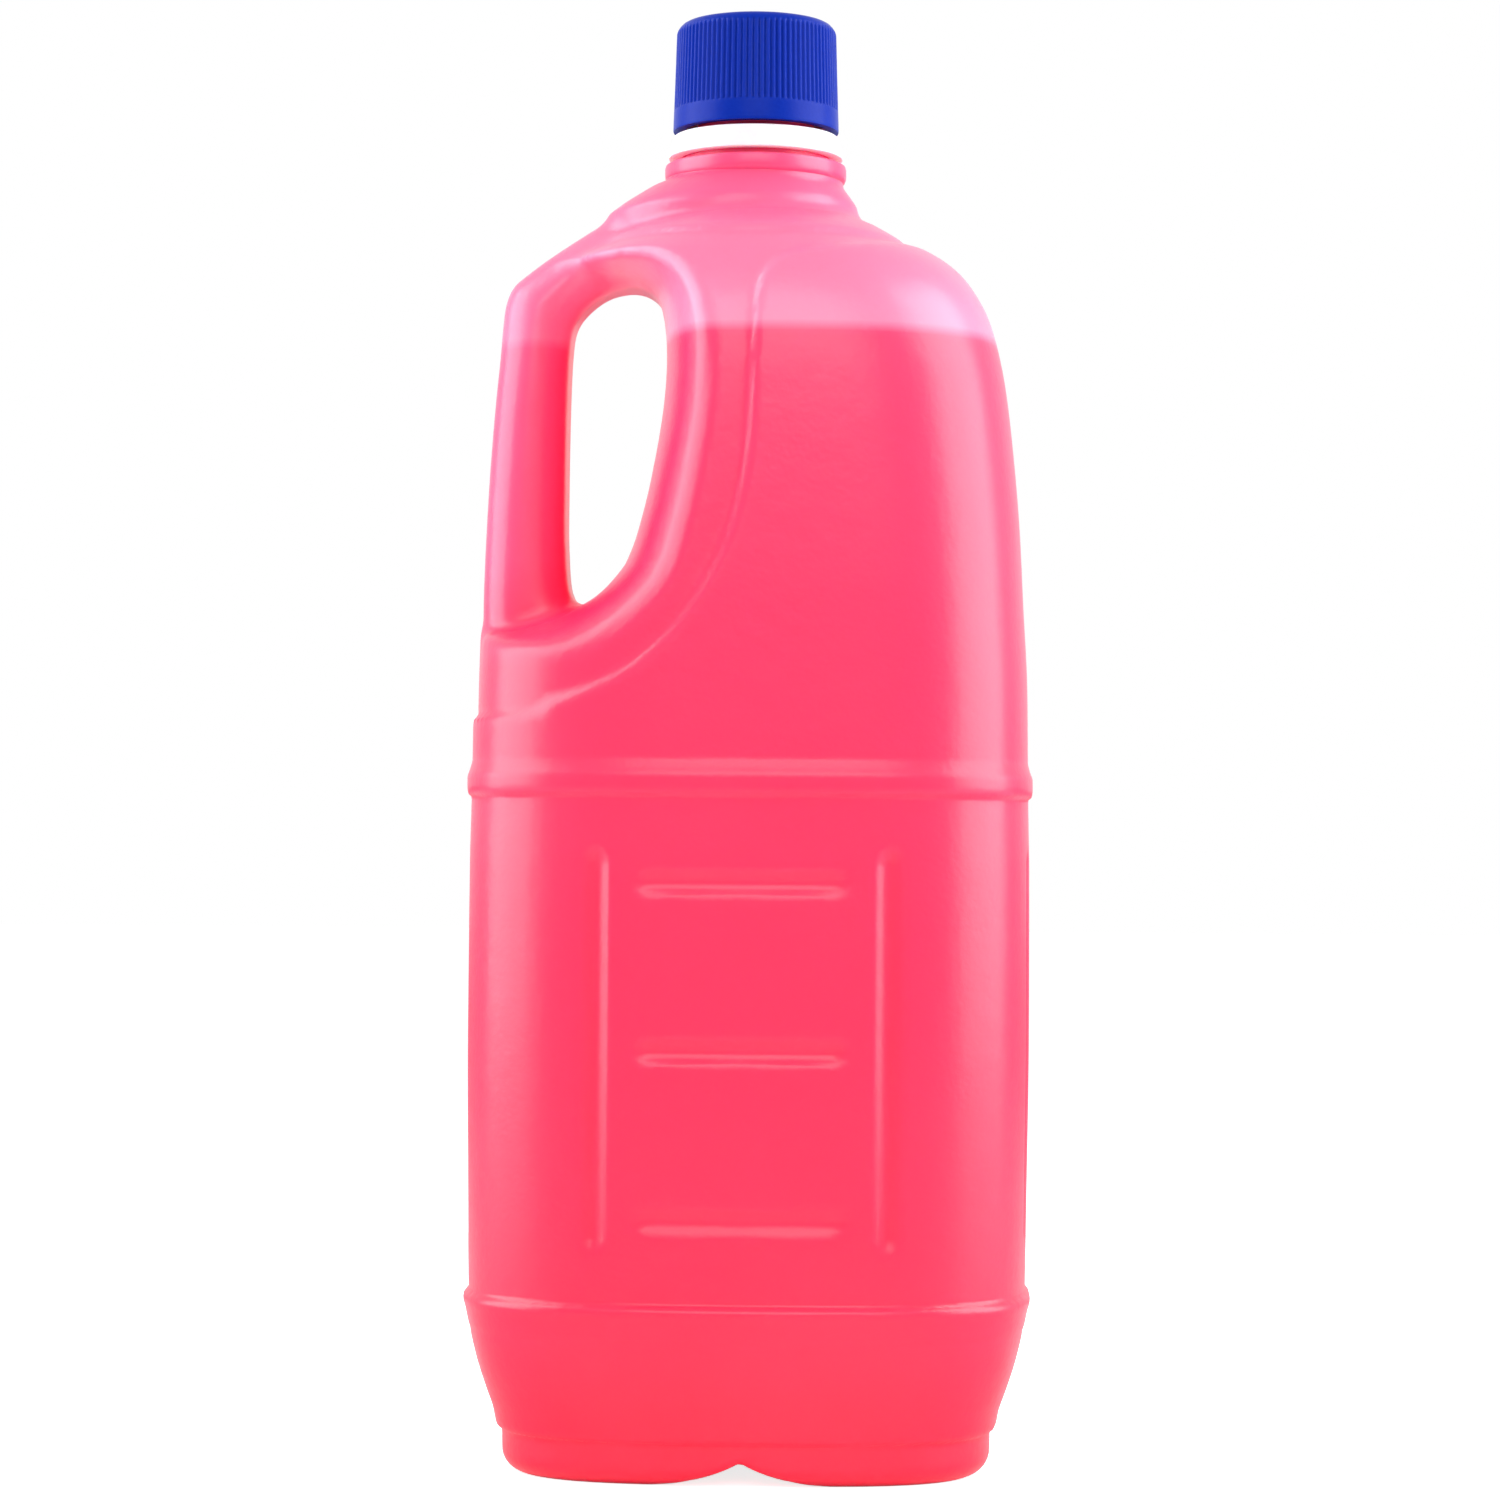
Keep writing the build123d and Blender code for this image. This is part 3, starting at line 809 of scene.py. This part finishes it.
outline = [(17.55, 281.9), (17.62, 282.1), (17.62, 282.5), (17.58, 284.0), (17.52, 285.6), (17.5, 286.2)]
outline += [(17.49, 286.3), (17.48, 286.45), (17.47, 286.6), (17.46, 286.9), (17.38, 289.5), (17.22, 294.5)]
outline += [(17.08, 299.5), (17.0, 302.3), (16.98, 302.7), (16.9, 303.0), (16.75, 303.4), (16.4, 303.95)]
outline += [(15.85, 304.5), (15.3, 304.8), (14.7, 304.95), (14.0, 305.0), (13.0, 304.98), (12.4, 304.8)]
outline += [(12.0, 304.74), (7.0, 304.7), (2.0, 304.68), (0.02, 304.68)]
inside_cap = [(0.02, 303.6), (15.6, 303.6), (15.6, 283.1), (15.3, 282.9), (14.9, 282.7), (14.9, 282.3)]
inside_cap += [(15.3, 281.95)]
cap = Parts()
cap.lathe(outline + inside_cap, count=RIBS * PER_RIB, radius_at=grip, closed=True)
for k in range(LUGS):
    cap.block(*LUG_RADII, (k + 0.5) * LUG_PITCH - LUG_HALF, (k + 0.5) * LUG_PITCH + LUG_HALF, 302.86, 303.7)
cap_piece = cap.make("outer_cap_shell")
soften(cap_piece, 32)
cap_piece.data.materials.append(blue)
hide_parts("outer_cap")
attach(cap_piece, "outer_cap")

# Inner cap with its thread and drive lugs
inner = Parts()
inner.lathe(
    [
        (15.2, 283.2), (15.3, 283.4), (15.3, 301.3), (15.1, 301.7), (14.7, 301.85), (4.0, 301.85),
        (0.02, 301.85), (0.02, 300.55), (13.9, 300.55), (14.1, 300.3), (14.1, 283.5), (14.3, 283.2),
    ],
    count=128,
    closed=True,
)
for k in range(LUGS):
    inner.block(*LUG_RADII, k * LUG_PITCH - LUG_HALF, k * LUG_PITCH + LUG_HALF, 301.7, 302.74)
for start in THREAD_STARTS:
    inner.helix(14.15, 13.0, THREAD_BOTTOM + THREAD_LEAD / 4, THREAD_LEAD, start, 1.0, 1.5)
inner_piece = inner.make("inner_cap_shell")
soften(inner_piece, 40)
inner_piece.data.materials.append(cap_white)
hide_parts("inner_cap")
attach(inner_piece, "inner_cap")

# Alcohol inside the wall
across = spaced((-58.5, 58.5, 2.0))
along = spaced((-44.6, 44.6, 2.0))
rows = spaced((-1.0, 233.0, 2.0), (233.0, 236.6, 0.6))
points, quads = surface_net(filling, across, along, rows)
fill_piece = mesh_object("alcohol_fill", points, quads)
fill_piece.data.materials.append(liquid)
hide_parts("alcohol")
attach(fill_piece, "bottle")

# The wad keeps its solid, with its own finish
wad_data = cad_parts["sealing_wad"].data
wad_data.materials.clear()
wad_data.materials.append(foam)


# Set: floor, light and camera

floor_data = bpy.data.meshes.new("floor")
corners = [(-FLOOR, -FLOOR, 0), (FLOOR, -FLOOR, 0), (FLOOR, FLOOR, 0), (-FLOOR, FLOOR, 0)]
floor_data.from_pydata(corners, [], [(0, 1, 2, 3)])
floor = bpy.data.objects.new("floor", floor_data)
bpy.context.scene.collection.objects.link(floor)
paper, nodes, links, skin = material("floor_paper")
nodes.remove(skin)
result = nodes["Material Output"]
diffuse = nodes.new("ShaderNodeBsdfDiffuse")
diffuse.inputs["Color"].default_value = (0.9, 0.9, 0.9, 1.0)
glow = nodes.new("ShaderNodeEmission")
glow.inputs["Color"].default_value = WHITE
glow.inputs["Strength"].default_value = 0.8
both = nodes.new("ShaderNodeAddShader")
links.new(diffuse.outputs[0], both.inputs[0])
links.new(glow.outputs[0], both.inputs[1])
seen = nodes.new("ShaderNodeLightPath")
pick = nodes.new("ShaderNodeMixShader")
links.new(seen.outputs["Is Camera Ray"], pick.inputs[0])
links.new(diffuse.outputs[0], pick.inputs[1])
links.new(both.outputs[0], pick.inputs[2])
links.new(pick.outputs[0], result.inputs["Surface"])
floor_data.materials.append(paper)

world = bpy.data.worlds.new("studio")
bpy.context.scene.world = world
world.use_nodes = True
nodes, links = world.node_tree.nodes, world.node_tree.links
sky = nodes["Background"]
sky.inputs["Color"].default_value = WHITE
sky.inputs["Strength"].default_value = 0.28
shown = nodes.new("ShaderNodeBackground")
shown.inputs["Color"].default_value = WHITE
shown.inputs["Strength"].default_value = 1.0
path = nodes.new("ShaderNodeLightPath")
choose = nodes.new("ShaderNodeMixShader")
either = nodes.new("ShaderNodeMath")
either.operation = "MAXIMUM"
links.new(path.outputs["Is Camera Ray"], either.inputs[0])
links.new(path.outputs["Is Glossy Ray"], either.inputs[1])
links.new(either.outputs[0], choose.inputs[0])
links.new(sky.outputs[0], choose.inputs[1])
links.new(shown.outputs[0], choose.inputs[2])
links.new(choose.outputs[0], nodes["World Output"].inputs["Surface"])


def softbox(name, place, target, width, height, power):
    lamp = bpy.data.lights.new(name, "AREA")
    lamp.shape = "RECTANGLE"
    lamp.size, lamp.size_y = width, height
    lamp.energy = power
    thing = bpy.data.objects.new(name, lamp)
    bpy.context.scene.collection.objects.link(thing)
    thing.location = place
    thing.rotation_mode = "QUATERNION"
    thing.rotation_quaternion = (Vector(target) - Vector(place)).to_track_quat("-Z", "Y")


softbox("left_box", (-0.78, -0.1, 0.58), (0, 0, 0.42), 0.8, 1.1, 10.8)
softbox("right_box", (0.78, -0.1, 0.54), (0, 0, 0.38), 0.8, 1.0, 11.2)
softbox("front_box", (0.1, -1.6, 1.0), (0, 0, 0.15), 1.2, 0.8, 8.0)

camera_data = bpy.data.cameras.new("camera")
camera = bpy.data.objects.new("camera", camera_data)
bpy.context.scene.collection.objects.link(camera)
bpy.context.scene.camera = camera
azimuth, distance, height = math.radians(2.3), 0.856, 0.1281
pitch, roll = math.radians(1.49), math.radians(0.40)
camera.location = (distance * math.sin(azimuth), -distance * math.cos(azimuth), height)
turn = Matrix.Rotation(azimuth, 4, "Z")
turn = turn @ Matrix.Rotation(math.pi / 2 + pitch, 4, "X") @ Matrix.Rotation(roll, 4, "Z")
camera.rotation_mode = "QUATERNION"
camera.rotation_quaternion = turn.to_quaternion()
camera_data.sensor_width = 36.0
camera_data.lens = 18.0 / math.tan(math.radians(VIEW_ANGLE) / 2)
camera_data.shift_x = SHIFT
camera_data.clip_start = 0.01

scene = bpy.context.scene
scene.view_settings.view_transform = "Standard"
